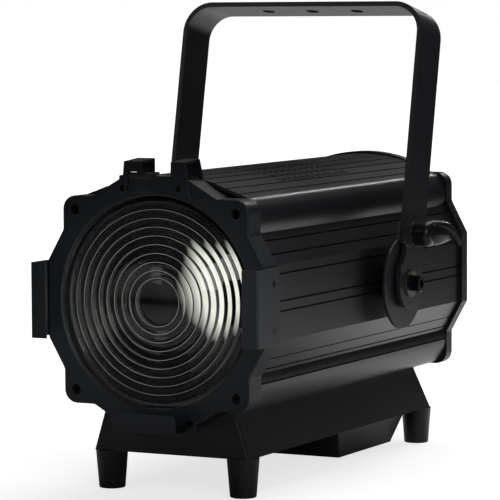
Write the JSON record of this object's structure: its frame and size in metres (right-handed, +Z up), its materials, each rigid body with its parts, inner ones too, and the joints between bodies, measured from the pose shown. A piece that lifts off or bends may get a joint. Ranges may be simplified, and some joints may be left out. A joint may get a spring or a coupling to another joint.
{
  "type": "fresnel spotlight",
  "caption": "Studio LED fresnel spotlight: finned extruded body, stepped lens, tilting flat-bar yoke with clamp levers, accessory holders and a footed base.",
  "frame": {"origin": "centre of the overall box, on the floor under the feet", "axes": "+Z up, -Y the way the light shines, +X to the right seen from in front"},
  "size_m": [0.3424, 0.513, 0.4622],
  "materials": {
    "black_cast": "satin black powder coat on cast aluminium",
    "black_extrusion": "satin black powder coat on extruded aluminium",
    "black_sheet": "fine-textured satin black powder coat on sheet steel",
    "yoke_steel": "satin black powder coat on flat steel bar",
    "lens_glass": "clear pressed borosilicate glass with a slight green tint",
    "seal_silicone": "black silicone",
    "black_oxide": "black oxide steel",
    "zinc_steel": "zinc plated steel",
    "olive_washer": "yellow zinc plated steel",
    "bright_aluminium": "polished anodised aluminium reflector sheet",
    "mill_aluminium": "mill finish aluminium",
    "ground_steel": "ground steel",
    "bronze": "sintered bronze",
    "lever_black": "gloss black enamel on die-cast zinc",
    "foot_rubber": "semi-gloss moulded black rubber",
    "black_plastic": "moulded black plastic",
    "fan_plastic": "glass-filled black plastic",
    "fibre": "black friction fibre",
    "panel_film": "satin overlay film",
    "display_glass": "tinted acrylic window",
    "key_grey": "grey silicone-feel plastic",
    "socket_blue": "moulded blue plastic",
    "socket_grey": "moulded light grey plastic",
    "led_board": "phosphor coated emitter on a white board",
    "motor_black": "black lacquered laminations",
    "supply_metal": "perforated aluminium case"
  },
  "bodies": {
    "housing": {"front_bezel": "black_cast", "bezel_screws": "black_oxide", "lens_gasket": "seal_silicone", "fresnel_lens": "lens_glass", "lens_retaining_ring": "black_sheet", "lens_ring_screws": "zinc_steel", "accessory_holder_left": "black_sheet", "accessory_holder_right": "black_sheet", "accessory_holder_bottom": "black_sheet", "holder_screws": "black_oxide", "latch_bracket": "black_sheet", "latch_bracket_screws": "zinc_steel", "flap_rod": "ground_steel", "body_shell": "black_extrusion", "light_tunnel": "bright_aluminium", "rear_cover": "black_cast", "rear_cover_screws": "black_oxide", "control_panel": "panel_film", "display_window": "display_glass", "power_inlet": "socket_blue", "power_outlet": "socket_grey", "data_sockets": "black_plastic", "safety_eye": "zinc_steel", "base_plinth": "black_sheet", "plinth_screws": "zinc_steel", "base_plate": "black_sheet", "underside_cowl": "black_sheet", "feet": "foot_rubber", "foot_screws": "zinc_steel", "power_supply": "supply_metal", "pivot_plates": "zinc_steel", "pivot_spacers": "black_cast", "friction_discs": "yoke_steel", "disc_screws": "black_oxide", "pivot_bolts": "black_oxide", "rod_supports": "mill_aluminium", "guide_rods": "ground_steel", "zoom_motor": "motor_black"},
    "yoke": {"yoke": "yoke_steel", "friction_washers": "fibre", "yoke_washers": "olive_washer"},
    "lever_left": {"lever_left": "lever_black"},
    "lever_right": {"lever_right": "lever_black"},
    "clamp_left": {"clamp_plate_left": "zinc_steel"},
    "clamp_right": {"clamp_plate_right": "zinc_steel"},
    "retainer": {"retainer_flap": "black_sheet"},
    "carriage": {"zoom_carriage": "mill_aluminium", "carriage_bushings": "bronze", "lead_nut": "bronze", "led_heatsink": "mill_aluminium", "led_module": "led_board", "led_collector": "bright_aluminium", "cooling_fan_frame": "fan_plastic"},
    "rotor": {"fan_rotor": "fan_plastic"},
    "screw": {"lead_screw": "ground_steel"},
    "key_menu": {"button_menu": "key_grey"},
    "key_up": {"button_up": "key_grey"},
    "key_down": {"button_down": "key_grey"},
    "key_enter": {"button_enter": "key_grey"}
  },
  "joints": [
    {"name": "yoke_tilt", "type": "hinge", "parent": "housing", "child": "yoke", "pos_m": [0, 0.049, 0.183], "axis": [1, 0, 0], "range_deg": [-113, 68]},
    {"name": "lever_left_turn", "type": "hinge", "parent": "yoke", "child": "lever_left", "pos_m": [-0.1366, 0.05922, 0.23194], "axis": [1, 0, 0], "range_deg": [-60, 60]},
    {"name": "lever_right_turn", "type": "hinge", "parent": "yoke", "child": "lever_right", "pos_m": [0.1366, 0.05922, 0.23194], "axis": [1, 0, 0], "range_deg": [-60, 60]},
    {"name": "clamp_left_draw", "type": "slide", "parent": "yoke", "child": "clamp_left", "axis": [-1, 0, 0], "range_m": [-0.00022, 0.00022]},
    {"name": "clamp_right_draw", "type": "slide", "parent": "yoke", "child": "clamp_right", "axis": [1, 0, 0], "range_m": [-0.00022, 0.00022]},
    {"name": "retainer_swing", "type": "hinge", "parent": "housing", "child": "retainer", "pos_m": [-0.014, -0.2288, 0.301], "axis": [1, 0, 0], "range_deg": [-90, 0]},
    {"name": "zoom_slide", "type": "slide", "parent": "housing", "child": "carriage", "axis": [0, 1, 0], "range_m": [-0.068, 0.03]},
    {"name": "lead_screw_turn", "type": "hinge", "parent": "housing", "child": "screw", "pos_m": [0, 0.029, 0.111], "axis": [0, 1, 0], "range_deg": [-3100, 1400]},
    {"name": "fan_spin", "type": "hinge", "parent": "carriage", "child": "rotor", "pos_m": [0, 0.031, 0.183], "axis": [0, 1, 0], "continuous": true},
    {"name": "button_menu_press", "type": "slide", "parent": "housing", "child": "key_menu", "axis": [0, -1, 0], "range_m": [0, 0.0012], "stiffness_N_per_m": 400},
    {"name": "button_up_press", "type": "slide", "parent": "housing", "child": "key_up", "axis": [0, -1, 0], "range_m": [0, 0.0012], "stiffness_N_per_m": 400},
    {"name": "button_down_press", "type": "slide", "parent": "housing", "child": "key_down", "axis": [0, -1, 0], "range_m": [0, 0.0012], "stiffness_N_per_m": 400},
    {"name": "button_enter_press", "type": "slide", "parent": "housing", "child": "key_enter", "axis": [0, -1, 0], "range_m": [0, 0.0012], "stiffness_N_per_m": 400}
  ],
  "couplings": [
    {"joint": "clamp_left_draw", "follows": "lever_left_turn", "m_per_rad": 0.000199},
    {"joint": "clamp_right_draw", "follows": "lever_right_turn", "m_per_rad": -0.000199},
    {"joint": "lead_screw_turn", "follows": "zoom_slide", "rad_per_m": 785.4}
  ]
}
